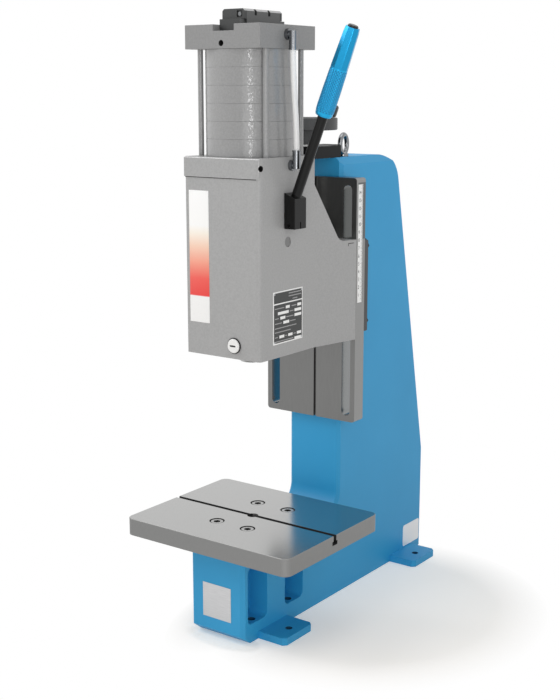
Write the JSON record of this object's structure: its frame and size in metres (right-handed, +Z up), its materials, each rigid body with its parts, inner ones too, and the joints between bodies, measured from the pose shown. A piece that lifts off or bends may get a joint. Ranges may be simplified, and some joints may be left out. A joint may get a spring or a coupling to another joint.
{
  "type": "hydraulic press",
  "caption": "C-frame bench press with a stacked power cylinder, a rack-and-pinion approach lever, a height-adjustable head and a T-slotted work table.",
  "frame": {"origin": "on the floor under the ram axis, on the underside of the base", "axes": "+Z up along the ram axis, -Y towards the operator, +X to the operator's right, on the lever's side"},
  "size_m": [0.2735, 0.459, 0.7595],
  "materials": {
    "blue_paint": "semi-gloss paint",
    "ground_steel": "ground",
    "grey_hammer_paint": "fine hammer paint",
    "dark_steel": "blackened",
    "bronze": "turned",
    "aluminium": "turned",
    "chrome": "polished",
    "valve_grey": "dark anodised",
    "black_steel": "black oxide",
    "blue_anodised": "anodised, knurled",
    "black_plastic": "moulded",
    "wheel_grey": "dark coated",
    "scale_white": "printed strip",
    "hose_white": "extruded",
    "seal_rubber": "moulded"
  },
  "bodies": {
    "frame": {"frame": "blue_paint", "work_table": "ground_steel", "table_screws": "ground_steel", "slide_plate": "ground_steel", "slide_plate_screws": "dark_steel", "height_scale": "scale_white", "lifting_eye": "chrome", "screw_bracket": "dark_steel", "bracket_screws": "dark_steel", "thrust_washer": "ground_steel"},
    "lifting_gear": {"lifting_screw": "dark_steel", "handwheel": "wheel_grey", "wheel_nut": "dark_steel", "knob_pin": "chrome"},
    "wheel_knob": {"wheel_knob": "black_plastic"},
    "head": {"head_housing": "grey_hammer_paint", "front_lip": "grey_hammer_paint", "guide_key": "ground_steel", "lifting_nut": "bronze", "clamp_bar_left": "dark_steel", "clamp_bar_right": "dark_steel", "clamp_bolts": "dark_steel", "front_plug": "scale_white", "front_plug_seal": "seal_rubber", "side_plug": "grey_hammer_paint", "ram_bush_lower": "bronze", "ram_bush_upper": "bronze", "shaft_bush_left": "bronze", "shaft_bush_right": "bronze", "shaft_cover": "grey_hammer_paint", "cylinder_base": "grey_hammer_paint", "cylinder_tube_lower": "grey_hammer_paint", "partition_lower": "grey_hammer_paint", "cylinder_tube_middle": "grey_hammer_paint", "partition_upper": "grey_hammer_paint", "cylinder_tube_upper": "grey_hammer_paint", "rod_seals": "seal_rubber", "top_cap": "grey_hammer_paint", "tie_rods": "grey_hammer_paint", "valve_body": "valve_grey", "valve_end_caps": "valve_grey", "valve_screws": "chrome", "elbow_upper": "chrome", "elbow_lower": "chrome", "air_hose": "hose_white"},
    "ram": {"ram": "ground_steel", "tool_set_screw": "dark_steel"},
    "lever": {"pinion": "ground_steel", "pinion_key": "dark_steel", "lever_shaft": "ground_steel", "lever_hub": "black_steel", "hub_clamp_screw": "dark_steel", "lever_rod": "black_steel", "lever_grip": "blue_anodised", "grip_end_cap": "black_plastic"},
    "power_pistons": {"pistons": "aluminium", "piston_seals": "seal_rubber", "piston_rod": "ground_steel"}
  },
  "joints": [
    {"name": "head_lift", "type": "slide", "parent": "frame", "child": "head", "axis": [0, 0, 1], "range_m": [-0.095, 0.06]},
    {"name": "wheel_turn", "type": "hinge", "parent": "frame", "child": "lifting_gear", "pos_m": [0, 0.106, 0.6], "axis": [0, 0, 1], "range_deg": [-8550, 5400]},
    {"name": "knob_spin", "type": "hinge", "parent": "lifting_gear", "child": "wheel_knob", "pos_m": [0.0267, 0.1255, 0.64], "axis": [0, 0, 1], "continuous": true},
    {"name": "lever_swing", "type": "hinge", "parent": "head", "child": "lever", "pos_m": [0, 0.002, 0.525], "axis": [1, 0, 0], "range_deg": [0, 125]},
    {"name": "ram_slide", "type": "slide", "parent": "head", "child": "ram", "axis": [0, 0, -1], "range_m": [0, 0.0295]},
    {"name": "power_stroke", "type": "slide", "parent": "head", "child": "power_pistons", "axis": [0, 0, -1], "range_m": [0, 0.01]}
  ],
  "couplings": [
    {"joint": "head_lift", "follows": "wheel_turn", "m_per_rad": 0.00063662},
    {"joint": "ram_slide", "follows": "lever_swing", "m_per_rad": 0.0135}
  ]
}
